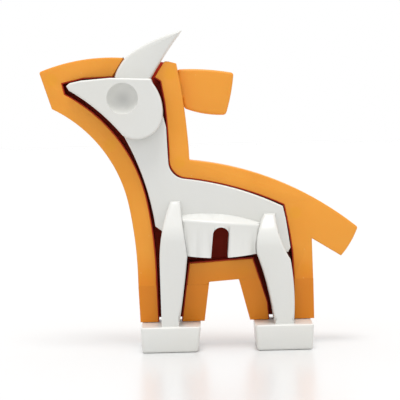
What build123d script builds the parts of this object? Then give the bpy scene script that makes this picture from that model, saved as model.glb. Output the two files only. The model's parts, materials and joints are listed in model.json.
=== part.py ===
from build123d import *
import os

# Opened half of a stylised antelope: an orange half shell with a dark red pocket, and the white
# skeleton puzzle that stands in it. +X runs from nose to tail, +Z is up, and the two half shells
# part on the XZ plane. The missing half shell would lie on the -Y side. Millimetres.

os.makedirs("parts", exist_ok=True)

# driving sizes
halfDepth = 12.5  # split plane to the outside of a half shell, and half the width of the feet
shellWall = 1.5  # wall behind the pocket
linerWall = 0.4  # dark red lining of the pocket
rimCap = 1.2  # plates that close the magnet pockets at the split face
drainTop = 11.1  # the pocket's back wall stops here, short of the feet
linerRecess = 0.35  # lining edge behind the split face
plateHalf = 2.0  # half thickness of the spine plate
skullFace = 7.0  # split plane to the side of the skull
legFace = 9.6  # split plane to the side of the leg bones
legTop = 3.4  # split plane to the face of a leg bone's thin top
kneeRound = 14.0
ribFace = 8.0  # split plane to the middle of the rib cage
ribSlope = 30.0  # degrees that the rib cage's crown slopes away
footTop = 10.0
shellFoot = 10.2  # underside of the shell's legs
legSlant = 3.0  # how far the lower legs' split face falls back at the bottom
foreFacet = 25.0  # tops of the slanted faces on the fore legs and the hind legs
hindFacet = 26.6
midX = 8.8  # between the fore legs and the hind legs
magnetR = 2.4
magnetLength = 2.5
pegClear = 0.05  # radial clearance round every peg
pegR = 1.6
ribPegR = 1.1
ribGap = 0.3  # rib cage to the leg bones beside it
socketSpare = 0.3  # socket depth beyond the peg's end
throatCentre = (-82.7, 46.8)  # the throat's arc runs on as a flatter arc down the breast
throatR = 55.4
breastR = 160.2
breastTurn = 10.9  # degrees above level where the two arcs meet
throatWidth = 7.2  # outside of the throat to the pocket

magnetPlaces = {
    "nose": (-57.6, 107.6),
    "nape": (-10.6, 109.0),
    "throat": (-35.0, 81.4),
    "withers": (-7.9, 74.0),
    "chest": (-21.7, 29.6),
    "belly": (16.6, 30.0),
    "rump": (37.6, 52.9),
    "thigh": (40.8, 30.2),
}
cornerRound = 0.9  # nose and tail tip
rimEdge = 0.3  # broken edge round the split face
plateEdge = 0.5
withersRound = 7.0  # where the neck runs into the back
skullEdge = 0.8
hornHalf = 2.0
hornTaper = 14.0
earNear = 4.0  # split plane to the ear's near face
earThick = 4.5
eyeBall = 6.35  # the socket is part of a ball standing off the skull's side
eyeRise = 1.5
eyeSpot = (-29.4, 99.6)
footCorner = 1.2
tenonSize = 3.6
tenonDepth = 4.0
skullPegDepth = 3.6
ribPegDepth = 1.6
legPegDepth = 2.4
footPegDepth = 5.0

frontPeg = (-10.0, 49.5)
rearPeg = (28.4, 46.5)
skullPeg = (-21.6, 91.0)
ribPegs = [(0.5, 50.2), (15.5, 49.7)]
footPegs = {"front": (-18.5, 5.0), "rear": (25.0, 5.0)}

left, right = 1, -1  # signs along the XZ plane's normal, which points to -Y


def throatPoint(turn, width=0.0):
    """Point of the throat and breast curve at a turn above level, moved towards the pocket."""
    centre = Vector(*throatCentre)
    radius = throatR
    if turn < breastTurn:
        centre += Vector(throatR - breastR, 0).rotate(Axis.Z, breastTurn)
        radius = breastR
    point = centre + Vector(radius + width, 0).rotate(Axis.Z, turn)
    return point.X, point.Y


def save(part, label):
    part.label = label
    export_step(part, f"parts/{label}.step")


# ---------------------------------------------------------------- outlines

with BuildSketch(Plane.XZ) as shellOutline:
    with BuildLine():
        chin = throatPoint(63.2)
        collar = throatPoint(breastTurn)
        chest = throatPoint(0)
        Line((-25.0, shellFoot), chest)
        ThreePointArc(chest, throatPoint(6), collar)
        ThreePointArc(collar, throatPoint(37), chin)
        Line(chin, (-62.4, 110.9))
        ThreePointArc((-62.4, 110.9), (-46.6, 115.2), (-28.9, 115.8))
        Polyline((-28.9, 115.8), (-11.0, 113.9), (-8.1, 113.1))
        ThreePointArc((-8.1, 113.1), (-5.2, 93.5), (-3.8, 74.8))
        ThreePointArc((-3.8, 74.8), (30.7, 65.9), (62.4, 46.6))
        ThreePointArc((62.4, 46.6), (59.5, 40.6), (55.6, 35.3))
        Polyline((55.6, 35.3), (44.1, 42.5), (44.6, shellFoot))
        Polyline((44.6, shellFoot), (18.9, shellFoot), (14.7, 26.9), (2.9, 26.1))
        Polyline((2.9, 26.1), (0.7, shellFoot), (-25.0, shellFoot))
    make_face()

with BuildSketch(Plane.XZ) as hornSlot:
    with BuildLine():
        Polyline((-33.5, 108.6), (-24.9, 122.0), (-7.4, 122.0), (-16.6, 108.0), close=True)
    make_face()

# The pocket runs on past the shell at the feet and the horn, and every user crops it.
with BuildSketch(Plane.XZ) as pocketOutline:
    with BuildLine():
        jaw = throatPoint(61.4, throatWidth)
        neck = throatPoint(breastTurn, throatWidth)
        breast = throatPoint(0, throatWidth)
        Line((-17.8, 0), breast)
        ThreePointArc(breast, throatPoint(6, throatWidth), neck)
        ThreePointArc(neck, throatPoint(37, throatWidth), jaw)
        Polyline(jaw, (-53.8, 106.4), (-45.0, 108.3), (-33.5, 108.6), (-24.9, 122.0))
        Polyline((-24.9, 122.0), (-7.4, 122.0), (-16.6, 108.0), (-14.2, 106.4), (-12.7, 97.5))
        ThreePointArc((-12.7, 97.5), (-11.9, 86.0), (-11.6, 75.9))
        ThreePointArc((-11.6, 75.9), (-9.8, 70.2), (-5.8, 68.0))
        ThreePointArc((-5.8, 68.0), (14.0, 63.9), (33.5, 56.4))
        Polyline((33.5, 56.4), (35.4, 46.0), (36.5, 38.0), (36.8, 28.0), (36.8, 0))
        Polyline((36.8, 0), (27.0, 0), (25.7, 17.2), (20.3, 35.0), (-4.7, 33.6), (-9.6, 0))
        Line((-9.6, 0), (-17.8, 0))
    make_face()

with BuildSketch(Plane.XZ) as linerCavity:
    add(pocketOutline.sketch_local)
    offset(amount=-linerWall, kind=Kind.INTERSECTION)

# Above this line the rim caps form the split face, and below it the shell's legs slant back.
with BuildSketch(Plane.XZ) as capZone:
    with BuildLine():
        Polyline((-70, foreFacet), (0, foreFacet), (14.7, hindFacet), (70, hindFacet))
        Polyline((70, hindFacet), (70, 130), (-70, 130), (-70, foreFacet))
    make_face()

with BuildSketch(Plane.XZ) as plateOutline:
    withersCorner = (-11.9, 68.0)
    with BuildLine():
        ThreePointArc((-17.9, 48.9), (-21.6, 66.0), (-29.4, 84.8))
        Polyline((-29.4, 84.8), (-33.0, 90.5), (-33.0, 104.6), (-19.0, 104.6), (-14.8, 98.0))
        Polyline((-14.8, 98.0), (-13.7, 92.0), (-12.7, 88.0))
        ThreePointArc((-12.7, 88.0), (-12.4, 79.0), withersCorner)
        ThreePointArc(withersCorner, (12.0, 63.8), (32.7, 55.7))
        Polyline((32.7, 55.7), (33.8, 50.6), (35.4, 39.2), (34.4, 37.4), (26.0, 37.4))
        Polyline((26.0, 37.4), (21.0, 48.6), (-4.0, 48.6), (-9.0, 45.2), (-15.2, 46.8))
        Line((-15.2, 46.8), (-17.9, 48.9))
    make_face()
    fillet(plateOutline.vertices().sort_by_distance((*withersCorner, 0))[0], withersRound)

with BuildSketch(Plane.XZ) as skullOutline:
    with BuildLine():
        ThreePointArc((-13.8, 94.0), (-21.2, 83.9), (-29.6, 85.1))
        ThreePointArc((-29.6, 85.1), (-38.4, 94.4), (-50.2, 103.2))
        Polyline((-50.2, 103.2), (-51.2, 105.0), (-49.8, 106.1), (-45.5, 107.0), (-34.0, 107.8))
        Polyline((-34.0, 107.8), (-18.0, 107.1), (-17.6, 105.6))
        ThreePointArc((-17.6, 105.6), (-15.0, 100.9), (-13.8, 94.0))
    make_face()

with BuildSketch(Plane.XZ) as hornOutline:
    with BuildLine():
        Line((-32.4, 104.7), (-32.6, 108.5))
        ThreePointArc((-32.6, 108.5), (-29.7, 113.9), (-25.8, 117.8))
        ThreePointArc((-25.8, 117.8), (-17.0, 122.4), (-5.0, 126.3))
        ThreePointArc((-5.0, 126.3), (-12.4, 116.4), (-18.0, 107.6))
        Polyline((-18.0, 107.6), (-19.6, 104.7), (-32.4, 104.7))
    make_face()

with BuildSketch(Plane.XZ) as earBlade:
    with BuildLine():
        ThreePointArc((-7.9, 110.9), (4.5, 110.5), (14.6, 109.0))
        ThreePointArc((14.6, 109.0), (13.4, 100.9), (11.1, 92.4))
        ThreePointArc((11.1, 92.4), (3.4, 92.9), (-5.4, 95.4))
        Line((-5.4, 95.4), (-7.9, 110.9))
    make_face()

with BuildSketch(Plane.XZ) as earTongue:
    with BuildLine():
        Polyline((-9.9, 109.0), (-5.0, 109.0), (-4.0, 99.0), (-8.4, 99.0), close=True)
    make_face()

with BuildSketch(Plane.XZ) as frontLegOutline:
    with BuildLine():
        Polyline((-9.4, footTop), (-16.2, footTop), (-16.4, 35.9))
        ThreePointArc((-16.4, 35.9), (-15.5, 45.5), (-11.8, 58.7))
        Line((-11.8, 58.7), (-7.9, 58.7))
        ThreePointArc((-7.9, 58.7), (-6.8, 47.5), (-5.5, 37.3))
        ThreePointArc((-5.5, 37.3), (-6.9, 26.0), (-9.4, footTop))
    make_face()

with BuildSketch(Plane.XZ) as rearLegOutline:
    with BuildLine():
        Line((35.7, footTop), (28.3, footTop))
        ThreePointArc((28.3, footTop), (25.6, 25.2), (21.7, 37.9))
        ThreePointArc((21.7, 37.9), (22.5, 46.3), (25.2, 53.0))
        Line((25.2, 53.0), (29.5, 53.0))
        ThreePointArc((29.5, 53.0), (31.2, 43.3), (34.9, 35.2))
        ThreePointArc((34.9, 35.2), (36.1, 22.0), (35.7, footTop))
    make_face()

with BuildSketch(Plane.XZ) as ribOutline:
    with BuildLine():
        Line((-8.0, 37.6), (-8.0, 53.0))
        ThreePointArc((-8.0, 53.0), (5.0, 53.5), (25.0, 48.7))
        Line((25.0, 48.7), (25.0, 38.2))
        ThreePointArc((25.0, 38.2), (7.5, 36.3), (-8.0, 37.6))
    make_face()
    with Locations((ribGap, 0)):
        add(frontLegOutline.sketch_local, mode=Mode.SUBTRACT)
    with Locations((-ribGap, 0)):
        add(rearLegOutline.sketch_local, mode=Mode.SUBTRACT)
    with BuildLine():
        Polyline((3.1, 30), (4.7, 45.2))
        ThreePointArc((4.7, 45.2), (7.9, 48.3), (11.1, 45.2))
        Polyline((11.1, 45.2), (9.9, 30), (3.1, 30))
    make_face(mode=Mode.SUBTRACT)

# The crown, run on past the rib cage at its ends and below, so that only its top slopes.
with BuildSketch(Plane.XZ) as ribCrown:
    with BuildLine():
        Line((-28.0, 10), (-28.0, 50.3))
        ThreePointArc((-28.0, 50.3), (5.0, 53.9), (45.0, 43.3))
        Polyline((45.0, 43.3), (45.0, 10), (-28.0, 10))
    make_face()

with BuildSketch(Plane.XY) as ribPlan:
    with BuildLine():
        ThreePointArc((-9.0, -5.4), (8.2, -ribFace), (26.0, -5.2))
        Polyline((26.0, -5.2), (26.0, -1), (-9.0, -1), (-9.0, -5.4))
    make_face()


def legSide(top, knee):
    """Y against Z: thin where the bone starts on the plate, full thickness below its knee."""
    with BuildSketch(Plane.YZ) as side:
        with BuildLine():
            Polyline((-legFace, 0), (-legFace, knee), (-legTop, top), (-legTop, top + 2))
            Polyline((-legTop, top + 2), (-plateHalf, top + 2), (-plateHalf, 0), (-legFace, 0))
        make_face()
        fillet(side.vertices().group_by(Axis.X)[0].sort_by(Axis.Y)[-1], kneeRound)
    return side.sketch


# ---------------------------------------------------------------- half shell


def cutLegFaces(back):
    """Slants the split face of the shell's lower legs, starting this far behind the split plane."""
    for startX, facet in ((midX - 80, foreFacet), (midX, hindFacet)):
        with BuildSketch(Plane.YZ.offset(startX)) as wedge:
            with BuildLine():
                foot = back + legSlant
                Polyline((back, facet), (foot, shellFoot), (foot, 0), (-1, 0), (-1, facet), close=True)
            make_face()
        extrude(wedge.sketch, amount=80, mode=Mode.SUBTRACT)


def cutDrain():
    """Gap under the pocket's back wall, as wide as the pocket."""
    with BuildSketch(Plane.XZ.offset(-halfDepth / 2)) as drain:
        add(pocketOutline.sketch_local)
        with Locations((midX, 0)):
            Rectangle(100, 2 * drainTop, mode=Mode.INTERSECT)
    extrude(drain.sketch, amount=-halfDepth, mode=Mode.SUBTRACT)


def makeShellBody():
    with BuildPart() as body:
        extrude(shellOutline.sketch, amount=-halfDepth)
        noseAndTail = body.edges().filter_by(Axis.Y).sort_by(Axis.X)
        fillet([noseAndTail[0], noseAndTail[-1]], cornerRound)
        extrude(hornSlot.sketch, amount=-halfDepth, mode=Mode.SUBTRACT)
        extrude(pocketOutline.sketch, amount=-(halfDepth - shellWall), mode=Mode.SUBTRACT)
        extrude(capZone.sketch, amount=-rimCap, mode=Mode.SUBTRACT)
        cutLegFaces(0)
        cutDrain()
        with BuildSketch(Plane.XZ.offset(-rimCap)):
            with Locations(*magnetPlaces.values()):
                Circle(magnetR + pegClear)
        extrude(amount=-magnetLength, mode=Mode.SUBTRACT)
        with BuildSketch(Plane.XZ.offset(-(earNear - pegClear))):
            add(earBlade.sketch_local)
            add(earTongue.sketch_local)
            offset(amount=pegClear, kind=Kind.INTERSECTION)
        extrude(amount=-(earThick + 2 * pegClear), mode=Mode.SUBTRACT)
    save(body.part, "shell_body")


def makeRims():
    """Plates over the magnets: one each side of the horn's slot, and one over the belly arch."""
    with BuildPart() as ring:
        extrude(shellOutline.sketch, amount=-rimCap)
        noseAndTail = ring.edges().filter_by(Axis.Y).sort_by(Axis.X)
        fillet([noseAndTail[0], noseAndTail[-1]], cornerRound)
        chamfer(ring.edges().filter_by(Plane.XZ).group_by(Axis.Y)[0], rimEdge)
        extrude(capZone.sketch, amount=-rimCap, mode=Mode.INTERSECT)
        for gap in (pocketOutline, hornSlot):
            extrude(gap.sketch, amount=-rimCap, mode=Mode.SUBTRACT)
    for name, solid in zip(("front_rim", "belly_rim", "back_rim"), ring.solids().sort_by(Axis.X)):
        save(solid, name)


def makeLiner():
    """Dark red tray that follows the pocket, open at the feet and at the horn."""
    with BuildPart() as tray:
        extrude(pocketOutline.sketch, amount=-(halfDepth - shellWall))
        with BuildSketch(Plane.XZ):
            add(linerCavity.sketch_local)
        extrude(amount=-(halfDepth - shellWall - linerWall), mode=Mode.SUBTRACT)
        extrude(shellOutline.sketch, amount=-halfDepth, mode=Mode.INTERSECT)
        extrude(hornSlot.sketch, amount=-(halfDepth - shellWall - linerWall), mode=Mode.SUBTRACT)
        with BuildSketch(Plane.XZ) as recess:
            Rectangle(300, 300)
        extrude(recess.sketch, amount=-linerRecess, mode=Mode.SUBTRACT)
        cutLegFaces(linerRecess)
        cutDrain()
    save(tray.part, "pocket_liner")


def makeMagnets():
    for place, spot in magnetPlaces.items():
        with BuildPart() as magnet:
            with BuildSketch(Plane.XZ.offset(-rimCap)):
                with Locations(spot):
                    Circle(magnetR)
            extrude(amount=-magnetLength)
        save(magnet.part, f"magnet_{place}")


def makeEar():
    """Slab ear with a tongue let into the nape's wall."""
    with BuildPart() as ear:
        with BuildSketch(Plane.XZ.offset(-earNear)):
            add(earBlade.sketch_local)
            add(earTongue.sketch_local)
        extrude(amount=-earThick)
    save(ear.part, "right_ear")


# ---------------------------------------------------------------- skeleton


def makeSpinePlate():
    farSide = Pos(0, plateHalf, 0) * plateOutline.sketch
    with BuildPart() as plate:
        extrude(farSide, amount=2 * plateHalf)
        fillet(plate.edges().filter_by(Plane.XZ), plateEdge)
        with BuildSketch(Plane.XZ):
            with Locations(frontPeg, rearPeg, skullPeg):
                Circle(pegR + pegClear)
            with Locations(*ribPegs):
                Circle(ribPegR + pegClear)
        extrude(amount=plateHalf, both=True, mode=Mode.SUBTRACT)
    save(plate.part, "spine_plate")


def makeHorn():
    """Blade that thins towards both faces and is seated on the spine plate's head."""
    with BuildPart() as horn:
        extrude(hornOutline.sketch, amount=hornHalf, both=True, taper=hornTaper)
    save(horn.part, "horn")


def addPegs(spots, radius, depth):
    """Pegs of a right-hand piece, through the spine plate into the left-hand piece."""
    with BuildSketch(Plane.XZ.offset(-plateHalf)) as ends:
        with Locations(*spots):
            Circle(radius)
    extrude(ends.sketch, amount=2 * plateHalf + depth)


def cutSockets(spots, radius, depth):
    """Blind holes of a left-hand piece for the right-hand piece's pegs."""
    with BuildSketch(Plane.XZ.offset(plateHalf)) as mouths:
        with Locations(*spots):
            Circle(radius + pegClear)
    extrude(mouths.sketch, amount=depth + socketSpare, mode=Mode.SUBTRACT)


def makeSkull(side):
    with BuildPart() as skull:
        with BuildSketch(Plane.XZ.offset(side * plateHalf)):
            add(skullOutline.sketch_local)
        extrude(amount=side * (skullFace - plateHalf))
        face = skull.faces().filter_by(Plane.XZ).sort_by(Axis.Y)[0 if side == left else -1]
        fillet(face.edges(), skullEdge)
        with Locations((eyeSpot[0], -side * (skullFace + eyeRise), eyeSpot[1])):
            Sphere(eyeBall, mode=Mode.SUBTRACT)
        if side == left:
            cutSockets([skullPeg], pegR, skullPegDepth)
        else:
            addPegs([skullPeg], pegR, skullPegDepth)
    return skull.part


def makeRibCage(side):
    crown = extrude(Pos(0, -plateHalf, 0) * ribCrown.sketch, amount=ribFace, taper=ribSlope)
    plan = ribPlan.sketch
    if side == right:
        crown = mirror(crown, about=Plane.XZ)
        plan = mirror(plan, about=Plane.XZ)
    with BuildPart() as ribs:
        with BuildSketch(Plane.XZ.offset(side * plateHalf)) as block:
            add(ribOutline.sketch_local)
        extrude(block.sketch, amount=side * ribFace)
        extrude(plan, amount=70, both=True, mode=Mode.INTERSECT)
        add(crown, mode=Mode.INTERSECT)
        if side == left:
            cutSockets(ribPegs, ribPegR, ribPegDepth)
        else:
            addPegs(ribPegs, ribPegR, ribPegDepth)
    return ribs.part


def makeLeg(side, outline, profile, peg, tenonX):
    if side == right:
        profile = mirror(profile, about=Plane.XZ)
    with BuildPart() as leg:
        extrude(outline.sketch, amount=side * (legFace + 1))
        extrude(profile, amount=60, both=True, mode=Mode.INTERSECT)
        with Locations((tenonX, -side * (plateHalf + legFace) / 2, footTop - tenonDepth / 2)):
            Box(tenonSize, tenonSize, tenonDepth)
        if side == left:
            cutSockets([peg], pegR, legPegDepth)
        else:
            addPegs([peg], pegR, legPegDepth)
    return leg.part


def makeFoot(side, topX, bottomX, tenonX, peg):
    """Half a foot: its flat inner side meets the other half at the split plane."""
    with BuildPart() as foot:
        with BuildSketch(Plane.XZ):
            with BuildLine():
                Polyline((topX[0], footTop), (topX[1], footTop), (bottomX[1], 0))
                Polyline((bottomX[1], 0), (bottomX[0], 0), (topX[0], footTop))
            make_face()
        extrude(amount=side * halfDepth)
        outer = foot.faces().filter_by(Plane.XZ).sort_by(Axis.Y)[0 if side == left else -1]
        upright = outer.edges().filter_by(Axis.X, reverse=True)
        fillet(upright, footCorner)
        size = tenonSize + 2 * pegClear
        depth = tenonDepth + socketSpare
        with Locations((tenonX, -side * (plateHalf + legFace) / 2, footTop - depth / 2)):
            Box(size, size, depth, mode=Mode.SUBTRACT)
        with BuildSketch(Plane.XZ):
            with Locations(peg):
                Circle(pegR + (pegClear if side == left else 0))
        if side == left:
            extrude(amount=footPegDepth + socketSpare, mode=Mode.SUBTRACT)
        else:
            extrude(amount=footPegDepth)
    return foot.part


makeShellBody()
makeRims()
makeLiner()
makeMagnets()
makeEar()
makeSpinePlate()
makeHorn()
for side, word in ((left, "left"), (right, "right")):
    save(makeSkull(side), f"{word}_skull")
    save(makeRibCage(side), f"{word}_rib_cage")
    save(makeLeg(side, frontLegOutline, legSide(58.7, 46.5), frontPeg, -13.0), f"{word}_front_leg")
    save(makeLeg(side, rearLegOutline, legSide(53.0, 45.0), rearPeg, 32.2), f"{word}_rear_leg")
    save(makeFoot(side, (-24.4, -0.8), (-24.0, -2.2), -13.0, footPegs["front"]), f"{word}_front_foot")
    save(makeFoot(side, (20.4, 43.4), (21.0, 42.6), 32.2, footPegs["rear"]), f"{word}_rear_foot")
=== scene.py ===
import json
import math

import bmesh
import bpy
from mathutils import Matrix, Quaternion, Vector


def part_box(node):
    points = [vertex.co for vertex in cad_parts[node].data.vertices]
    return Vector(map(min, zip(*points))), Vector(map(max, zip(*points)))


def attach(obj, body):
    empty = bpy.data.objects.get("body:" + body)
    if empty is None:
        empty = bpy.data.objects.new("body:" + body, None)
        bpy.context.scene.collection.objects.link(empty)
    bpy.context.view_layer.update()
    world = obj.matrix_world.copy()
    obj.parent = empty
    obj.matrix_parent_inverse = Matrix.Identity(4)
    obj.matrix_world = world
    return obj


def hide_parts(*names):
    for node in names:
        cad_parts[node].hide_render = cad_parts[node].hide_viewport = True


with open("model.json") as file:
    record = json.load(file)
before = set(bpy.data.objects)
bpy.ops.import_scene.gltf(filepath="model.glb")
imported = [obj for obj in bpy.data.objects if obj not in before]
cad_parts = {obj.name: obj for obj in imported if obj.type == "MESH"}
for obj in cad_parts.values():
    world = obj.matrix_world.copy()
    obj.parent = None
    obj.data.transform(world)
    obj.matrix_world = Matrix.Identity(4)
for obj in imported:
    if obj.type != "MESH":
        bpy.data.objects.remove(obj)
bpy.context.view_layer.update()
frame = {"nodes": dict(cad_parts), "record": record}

nodes = frame["nodes"]
print("frame loaded:", len(nodes), "nodes")


# shader helpers

class Wire:
    # An output socket that can be used in plain sums.
    def __init__(self, paint, socket):
        self.paint = paint
        self.socket = socket

    def maths(self, operation, first, second=None):
        found = self.paint.node("ShaderNodeMath", {"operation": operation}, {0: first, 1: second})
        return found.out()

    def __add__(self, other):
        return self.maths("ADD", self, other)

    def __radd__(self, other):
        return self.maths("ADD", other, self)

    def __sub__(self, other):
        return self.maths("SUBTRACT", self, other)

    def __rsub__(self, other):
        return self.maths("SUBTRACT", other, self)

    def __mul__(self, other):
        return self.maths("MULTIPLY", self, other)

    def __rmul__(self, other):
        return self.maths("MULTIPLY", other, self)


class Node:
    def __init__(self, paint, made):
        self.paint = paint
        self.made = made

    def out(self, name=0):
        return Wire(self.paint, self.made.outputs[name])


class Paint:
    # One material: a Principled shader and the nodes that feed it.
    def __init__(self, name, colour, roughness, constants=None):
        self.material = bpy.data.materials.new(name)
        self.material.use_nodes = True
        self.tree = self.material.node_tree
        self.shader = self.tree.nodes["Principled BSDF"]
        self.set("Base Color", (*colour, 1.0))
        self.set("Roughness", roughness)
        for socket, value in (constants or {}).items():
            self.set(socket, value)
        self.place = self.node("ShaderNodeTexCoord").out("Object")
        self.material.diffuse_color = (*colour, 1.0)

    def feed(self, socket, value):
        if value is None:
            return
        if isinstance(value, Wire):
            self.tree.links.new(value.socket, socket)
        else:
            socket.default_value = value

    def set(self, name, value):
        self.feed(self.shader.inputs[name], value)

    def node(self, kind, settings=None, inputs=None):
        made = self.tree.nodes.new(kind)
        for key, value in (settings or {}).items():
            setattr(made, key, value)
        for key, value in (inputs or {}).items():
            self.feed(made.inputs[key], value)
        return Node(self, made)

    def noise(self, scale, detail=2.0, rough=0.5, place=None):
        values = {"Vector": place or self.place, "Scale": scale, "Detail": detail, "Roughness": rough}
        return self.node("ShaderNodeTexNoise", None, values).out("Fac")

    def stretched(self, scale, turn=(0, 0, 0)):
        values = {"Vector": self.place, "Scale": scale, "Rotation": turn}
        return self.node("ShaderNodeMapping", None, values).out()

    def mix(self, factor, first, second):
        values = {"Factor": factor, 6: first, 7: second}
        return self.node("ShaderNodeMix", {"data_type": "RGBA"}, values).out(2)

    def ramp(self, value, low, high):
        values = {"Value": value, "From Min": low, "From Max": high}
        return self.node("ShaderNodeMapRange", {"interpolation_type": "SMOOTHSTEP"}, values).out()

    def dots(self, scale, radius):
        # Scattered specks: 1 inside a cell's small centre, 0 outside it.
        values = {"Vector": self.place, "Scale": scale, "Randomness": 1.0}
        far = self.node("ShaderNodeTexVoronoi", {"feature": "F1"}, values).out("Distance")
        return 1.0 - self.ramp(far, radius * 0.6, radius)

    def bump(self, height, distance, strength=1.0):
        values = {"Height": height, "Distance": distance, "Strength": strength}
        self.set("Normal", self.node("ShaderNodeBump", None, values).out())

    def within(self, centre, radius, soft):
        # 1 inside a round spot of the split face, fading over soft.
        flat = self.node("ShaderNodeVectorMath", {"operation": "MULTIPLY"},
                         {0: self.place, 1: (1.0, 0.0, 1.0)}).out()
        values = {0: flat, 1: (centre.x, 0.0, centre.z)}
        away = self.node("ShaderNodeVectorMath", {"operation": "DISTANCE"}, values).out("Value")
        return 1.0 - self.ramp(away, radius - soft, radius + soft)


def opaque(colour):
    return (*colour, 1.0)


# materials

orangeLook = {
    "colour": (0.815, 0.330, 0.037),
    "deep": (0.760, 0.290, 0.024),
    "spot": (0.780, 0.330, 0.018),
    # low: painted shade, a darker orange mixed in towards the bottom
    "low": (0.720, 0.215, 0.004),
    "speck": (0.88, 0.52, 0.18),
    "roughness": 0.40,
    "grain": 1900.0,
    "grainDepth": 0.000012,
    "spotStrength": 0.55,
    "spotSoft": 0.35,
    "paintedShadeFrom": 0.040,
    "paintedShadeTo": 0.024,
    "paintedShadeShare": 0.8,
    "specks": 170.0,
    "speckSize": 0.055,
    "speckShare": 0.30,
}
redLook = {
    "colour": (0.440, 0.026, 0.008),
    "pale": (0.480, 0.034, 0.012),
    "roughness": 0.60,
    "grain": 1500.0,
    "grainDepth": 0.00002,
}
whiteLook = {
    "colour": (0.690, 0.692, 0.668),
    "warm": (0.685, 0.680, 0.640),
    "speck": (0.62, 0.60, 0.56),
    "roughness": 0.30,
    "wave": 55.0,
    # painted shade: the eye socket's hollow is darkened towards its middle
    "socket": Vector((-0.0294, 0.0, 0.0996)),
    "socketShadeRadius": 0.0023,
    "socketShadeTone": (0.330, 0.330, 0.315),
    "socketShadeShare": 0.34,
    "grain": 2200.0,
    "bumpDepth": 0.00006,
    "specks": 120.0,
    "speckSize": 0.035,
    "speckShare": 0.25,
}
magnetLook = {
    "colour": (0.66, 0.65, 0.62),
    "roughness": 0.22,
    "rings": 900.0,
    "cloud": 150.0,
    "darker": 0.86,
}


def paintOrange():
    look = orangeLook
    paint = Paint("orange_plastic", look["colour"], look["roughness"], {
        "Subsurface Weight": 0.12,
        "Subsurface Radius": (1.0, 0.35, 0.10),
        "Subsurface Scale": 0.0015,
        "IOR": 1.49,
        "Specular IOR Level": 0.32,
    })
    cloud = paint.noise(26.0, 3.0)
    flow = paint.noise(1.0, 2.0, 0.5, paint.stretched((14.0, 60.0, 90.0), (0.0, 0.5, 0.0)))
    body = paint.mix(paint.ramp(cloud, 0.38, 0.72), opaque(look["colour"]), opaque(look["deep"]))
    spots = None
    for name in nodes:
        if name.startswith("magnet_"):
            low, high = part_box(name)
            centre = (low + high) / 2
            radius = (high.x - low.x) / 2
            spot = paint.within(centre, radius, radius * look["spotSoft"])
            spots = spot if spots is None else spots + spot
    body = paint.mix(spots * look["spotStrength"], body, opaque(look["spot"]))
    # painted shade: from 40 mm down to 24 mm the orange is mixed towards the darker low tone, for the
    # belly and lower legs getting less light from above
    height = paint.node("ShaderNodeSeparateXYZ", None, {0: paint.place}).out("Z")
    low = paint.ramp(height, look["paintedShadeFrom"], look["paintedShadeTo"])
    body = paint.mix(low * look["paintedShadeShare"], body, opaque(look["low"]))
    specks = paint.dots(look["specks"], look["speckSize"])
    body = paint.mix(specks * look["speckShare"], body, opaque(look["speck"]))
    paint.set("Base Color", body)
    fine = paint.noise(look["grain"], 2.0, 0.6)
    paint.set("Roughness", look["roughness"] - 0.05 + flow * 0.08 + fine * 0.04)
    paint.bump(fine + cloud * 0.6, look["grainDepth"])
    return paint.material


def paintRed():
    look = redLook
    paint = Paint("dark_red_plastic", look["colour"], look["roughness"], {
        "IOR": 1.49,
        "Specular IOR Level": 0.22,
    })
    cloud = paint.noise(40.0, 3.0)
    body = paint.mix(paint.ramp(cloud, 0.35, 0.7), opaque(look["colour"]), opaque(look["pale"]))
    paint.set("Base Color", body)
    fine = paint.noise(look["grain"], 2.0, 0.6)
    paint.set("Roughness", look["roughness"] - 0.05 + fine * 0.1)
    paint.bump(fine, look["grainDepth"])
    return paint.material


def paintWhite():
    look = whiteLook
    paint = Paint("white_plastic", look["colour"], look["roughness"], {
        "Subsurface Weight": 0.10,
        "Subsurface Radius": (1.0, 0.9, 0.8),
        "Subsurface Scale": 0.001,
        "IOR": 1.50,
    })
    cloud = paint.noise(18.0, 3.0)
    body = paint.mix(paint.ramp(cloud, 0.40, 0.75), opaque(look["colour"]), opaque(look["warm"]))
    specks = paint.dots(look["specks"], look["speckSize"])
    body = paint.mix(specks * look["speckShare"], body, opaque(look["speck"]))
    # painted shade: a darker round patch in the eye socket, for the shade inside the hollow
    socket = paint.within(look["socket"], look["socketShadeRadius"], look["socketShadeRadius"])
    body = paint.mix(socket * look["socketShadeShare"], body, opaque(look["socketShadeTone"]))
    paint.set("Base Color", body)
    wave = paint.noise(look["wave"], 2.0)
    fine = paint.noise(look["grain"], 2.0, 0.6)
    smear = paint.noise(1.0, 3.0, 0.6, paint.stretched((20.0, 30.0, 110.0), (0.0, 0.35, 0.0)))
    paint.set("Roughness", look["roughness"] - 0.06 + smear * 0.10 + fine * 0.03)
    paint.bump(wave + fine * 0.12, look["bumpDepth"])
    return paint.material


def paintMagnet():
    look = magnetLook
    paint = Paint("magnet_metal", look["colour"], look["roughness"], {"Metallic": 1.0})
    fine = paint.noise(look["rings"], 2.0)
    paint.set("Roughness", look["roughness"] + fine * 0.12)
    dark = tuple(channel * look["darker"] for channel in look["colour"])
    paint.set("Base Color", paint.mix(paint.noise(look["cloud"]), opaque(look["colour"]), opaque(dark)))
    return paint.material


paints = {
    "orange_plastic": paintOrange(),
    "dark_red_plastic": paintRed(),
    "white_plastic": paintWhite(),
    "magnet_metal": paintMagnet(),
}
print("materials made")


# mouldings

slotOf = {part["node"]: part["material_slot"] for part in frame["record"]["subparts"]}
bodyOf = {}
for bodyName, members in frame["record"]["behaviour"]["bodies"].items():
    for member in members:
        bodyOf[member] = bodyName

for name, thing in nodes.items():
    thing.data.materials.clear()
    thing.data.materials.append(paints[slotOf[name]])


meshCare = {
    "weld": 0.000002,
    "finalWeld": 0.000003,
    "flatDegrees": 0.4,
    "sharpDegrees": 28.0,
    "smoothDegrees": 35.0,
}


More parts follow.
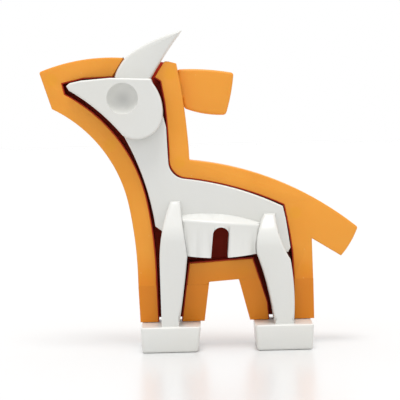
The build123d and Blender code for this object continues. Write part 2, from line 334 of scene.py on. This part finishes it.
def copyOf(name):
    # A welded copy of a CAD node, with its flat faces whole again.
    piece = bpy.data.objects.new(name + "_moulding", nodes[name].data.copy())
    bpy.context.collection.objects.link(piece)
    bpy.ops.object.select_all(action="DESELECT")
    piece.select_set(True)
    bpy.context.view_layer.objects.active = piece
    bpy.ops.object.mode_set(mode="EDIT")
    bpy.ops.mesh.select_all(action="SELECT")
    bpy.ops.mesh.remove_doubles(threshold=meshCare["weld"])
    bpy.ops.mesh.dissolve_limited(angle_limit=math.radians(meshCare["flatDegrees"]))
    return piece


def roundEdges(piece, width, segments, wanted):
    # Bevels the sharp edges that a test on their two ends picks. The piece is in edit mode.
    form = bmesh.from_edit_mesh(piece.data)
    form.select_mode = {"EDGE"}
    bpy.ops.mesh.select_mode(type="EDGE")
    bpy.ops.mesh.select_all(action="DESELECT")
    picked = 0
    for edge in form.edges:
        ends = [corner.co for corner in edge.verts]
        turn = math.degrees(edge.calc_face_angle(0.0))
        if turn > meshCare["sharpDegrees"] and wanted(*ends):
            edge.select_set(True)
            picked += 1
    bmesh.update_edit_mesh(piece.data)
    if picked:
        bpy.ops.mesh.bevel(offset=width, segments=segments, profile=0.5, affect="EDGES",
                           clamp_overlap=False, loop_slide=True)


def finishPiece(piece, name):
    bpy.ops.mesh.select_all(action="SELECT")
    bpy.ops.mesh.remove_doubles(threshold=meshCare["finalWeld"])
    bpy.ops.mesh.normals_make_consistent(inside=False)
    bpy.ops.object.mode_set(mode="OBJECT")
    bpy.ops.object.shade_smooth_by_angle(angle=math.radians(meshCare["smoothDegrees"]))
    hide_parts(name)
    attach(piece, bodyOf[name])


def pushEnds(piece, front, rear, amount):
    # Moves the walls before one X and behind another outwards.
    form = bmesh.from_edit_mesh(piece.data)
    bpy.ops.mesh.select_mode(type="VERT")
    for limit, sign in ((front, -1), (rear, 1)):
        bpy.ops.mesh.select_all(action="DESELECT")
        for corner in form.verts:
            corner.select_set((corner.co.x - limit) * sign > 0)
        bmesh.update_edit_mesh(piece.data)
        bpy.ops.transform.translate(value=(sign * amount, 0, 0))
        form = bmesh.from_edit_mesh(piece.data)


def mould(name, steps, ends=None):
    # Each step is a width, a number of segments and a test that picks its edges.
    piece = copyOf(name)
    if ends:
        pushEnds(piece, *ends)
    for width, segments, wanted in steps:
        roundEdges(piece, width, segments, wanted)
    finishPiece(piece, name)
    print("moulded", name)


def everyEdge(first, second):
    return True


# the shell body: only its outside is rounded, above the feet
shellMould = {
    "round": 0.0005,
    "segments": 4,
    "above": 0.0021,
    "touch": 0.00002,
}


def mouldShell():
    low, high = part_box("shell_body")
    far = high.y - shellMould["touch"]
    bottom = low.z + shellMould["above"]

    def onOutside(first, second):
        return min(first.y, second.y) > far and max(first.z, second.z) > bottom

    mould("shell_body", [(shellMould["round"], shellMould["segments"], onOutside)])


# the rims: their lower edges stay sharp, where they run on into the legs' facets
rimMould = {
    "round": 0.00025,
    "segments": 2,
    "facetTop": 0.0272,
}


def mouldRims():
    def offFacet(first, second):
        away = second - first
        level = abs(away.x) >= abs(away.z) + abs(away.y)
        return not level or max(first.z, second.z) > rimMould["facetTop"]

    for name in ("front_rim", "belly_rim", "back_rim"):
        mould(name, [(rimMould["round"], rimMould["segments"], offFacet)])


earMould = {
    "round": 0.0010,
    "segments": 4,
}
hornMould = {
    "round": 0.0006,
    "segments": 3,
}


def mouldEarAndHorn():
    mould("right_ear", [(earMould["round"], earMould["segments"], everyEdge)])
    mould("horn", [(hornMould["round"], hornMould["segments"], everyEdge)])


# the leg bones: rounded where they stand off the spine plate, above the feet
legMould = {
    "round": 0.0010,
    "segments": 4,
    "plate": 0.0021,
    "foot": 0.0101,
}


def mouldLegs(side, sign):
    def onBone(first, second):
        outside = min(first.y * sign, second.y * sign) > legMould["plate"]
        return outside and min(first.z, second.z) > legMould["foot"]

    for leg in ("front_leg", "rear_leg"):
        mould(side + "_" + leg, [(legMould["round"], legMould["segments"], onBone)])


# the feet: the soles are rounder than the tops, and the flat inner sides meet
footMould = {
    "sole": 0.0011,
    "soleSegments": 4,
    "top": 0.0006,
    "topSegments": 3,
    "inner": 0.0001,
    "ground": 0.00002,
}


def mouldFeet(side, sign):
    def outside(first, second):
        return max(first.y * sign, second.y * sign) > footMould["inner"]

    def onSole(first, second):
        return outside(first, second) and max(first.z, second.z) < footMould["ground"]

    def onTop(first, second):
        return outside(first, second) and max(first.z, second.z) > footMould["ground"]

    steps = [
        (footMould["sole"], footMould["soleSegments"], onSole),
        (footMould["top"], footMould["topSegments"], onTop),
    ]
    for foot in ("front_foot", "rear_foot"):
        mould(side + "_" + foot, steps)


# the rib cages: the crown's crease is softened, and the ends come nearer the legs
ribMould = {
    "crown": 0.0008,
    "segments": 6,
    "spread": 0.0002,
    "frontEnd": -0.0046,
    "rearEnd": 0.0215,
    "outer": 0.0035,
    "creaseLow": 0.0440,
    "archMiddle": 0.0079,
    "archHalf": 0.0048,
    "archTop": 0.0489,
}


def mouldRibs(side, sign):
    def onCrease(first, second):
        away = second - first
        middle = (first + second) / 2
        level = abs(away.x) > abs(away.y) + abs(away.z)
        outside = max(first.y * sign, second.y * sign) > ribMould["outer"]
        overArch = abs(middle.x - ribMould["archMiddle"]) < ribMould["archHalf"]
        arch = overArch and middle.z < ribMould["archTop"]
        return level and outside and not arch and min(first.z, second.z) > ribMould["creaseLow"]

    ends = (ribMould["frontEnd"], ribMould["rearEnd"], ribMould["spread"])
    mould(side + "_rib_cage", [(ribMould["crown"], ribMould["segments"], onCrease)], ends)


mouldShell()
mouldRims()
mouldEarAndHorn()
for side, sign in (("left", -1), ("right", 1)):
    mouldLegs(side, sign)
    mouldFeet(side, sign)
    mouldRibs(side, sign)
print("pieces moulded")


# floor, light and camera

stage = {
    "floorSize": 12.0,
    "floorColour": (0.70, 0.70, 0.70),
    "floorGloss": 0.16,
    "floorHaze": 3.0,
    "worldStrength": 1.0,
    "sunStrength": 1.5,
    "sunAngle": 24.0,
    "sunLean": 14.0,
}
view = {
    "place": (0.0, -0.560, 0.088),
    "pitchDegrees": 2.98,
    "rollDegrees": -1.41,
    "lens": 127.2,
    "sensor": 36.0,
}


def makeFloor():
    bpy.ops.mesh.primitive_plane_add(size=stage["floorSize"], location=(0, 0, 0))
    floor = bpy.context.object
    floor.name = "floor"
    paint = Paint("floor_white", stage["floorColour"], stage["floorGloss"], {"IOR": 1.45})
    haze = paint.noise(stage["floorHaze"], 3.0)
    paint.set("Roughness", stage["floorGloss"] + haze * stage["floorGloss"])
    floor.data.materials.append(paint.material)


def makeLights():
    world = bpy.data.worlds.new("studio")
    bpy.context.scene.world = world
    world.use_nodes = True
    background = world.node_tree.nodes["Background"]
    background.inputs["Color"].default_value = (1.0, 1.0, 1.0, 1.0)
    background.inputs["Strength"].default_value = stage["worldStrength"]
    bpy.ops.object.light_add(type="SUN", location=(0, 0, 1))
    sun = bpy.context.object
    sun.name = "top_light"
    sun.data.energy = stage["sunStrength"]
    sun.data.angle = math.radians(stage["sunAngle"])
    sun.rotation_euler = (math.radians(stage["sunLean"]), 0, 0)


def makeCamera():
    bpy.ops.object.camera_add(location=view["place"])
    camera = bpy.context.object
    camera.name = "camera"
    camera.data.lens = view["lens"]
    camera.data.sensor_width = view["sensor"]
    aim = Quaternion((1, 0, 0), math.radians(90.0 - view["pitchDegrees"]))
    roll = Quaternion((0, 0, 1), math.radians(view["rollDegrees"]))
    camera.rotation_mode = "QUATERNION"
    camera.rotation_quaternion = aim @ roll
    camera.rotation_mode = "XYZ"
    bpy.context.scene.camera = camera


makeFloor()
makeLights()
makeCamera()
bpy.context.scene.view_settings.view_transform = "Standard"
print("stage set")
